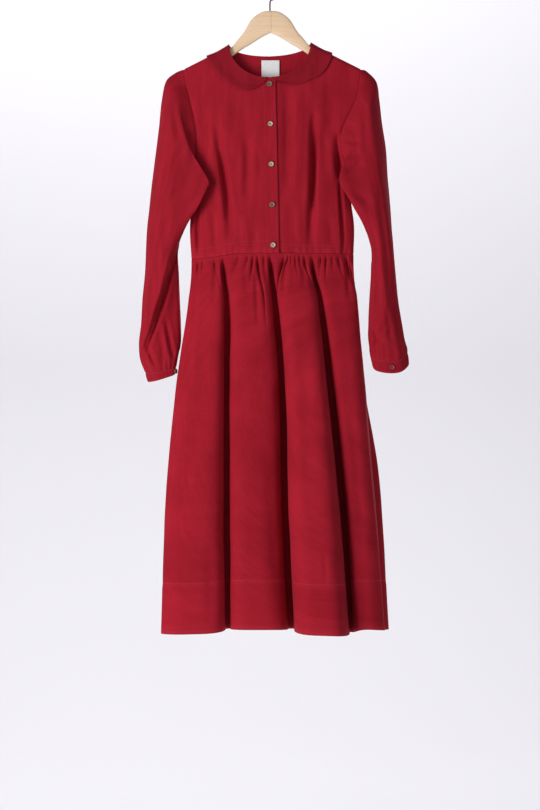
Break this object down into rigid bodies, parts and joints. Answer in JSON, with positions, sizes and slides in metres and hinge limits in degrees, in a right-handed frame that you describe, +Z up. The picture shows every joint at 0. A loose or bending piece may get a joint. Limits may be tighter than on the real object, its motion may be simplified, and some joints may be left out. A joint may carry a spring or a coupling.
{
  "type": "long-sleeve dress on a clothes hanger",
  "caption": "Midi dress with long cuffed sleeves, a flat rounded collar, a buttoned bodice and a gathered skirt in deep folds, on a wooden clothes hanger with a wire hook.",
  "frame": {"origin": "where the hanger's hook rests on its rail: the inner top of the hook", "axes": "+X towards the wearer's left, +Y from the dress's front to its back, +Z up"},
  "size_m": [0.54, 0.1723, 1.307],
  "materials": {
    "linen": "woven linen, matt",
    "shell": "polished shell",
    "label_cloth": "woven tape, bare",
    "wood": "clear satin lacquer",
    "steel": "dark wire"
  },
  "bodies": {
    "root": {"bodice_front_right": "linen", "bodice_front_left": "linen", "bodice_back": "linen", "skirt_front": "linen", "skirt_back": "linen", "sleeve_right": "linen", "sleeve_left": "linen", "cuff_right": "linen", "cuff_left": "linen", "collar": "linen", "button_front_1": "shell", "button_front_2": "shell", "button_front_3": "shell", "button_front_4": "shell", "button_front_5": "shell", "cuff_button_right": "shell", "cuff_button_left": "shell", "label": "label_cloth", "hanger": "wood", "hanger_hook": "steel"}
  },
  "joints": []
}
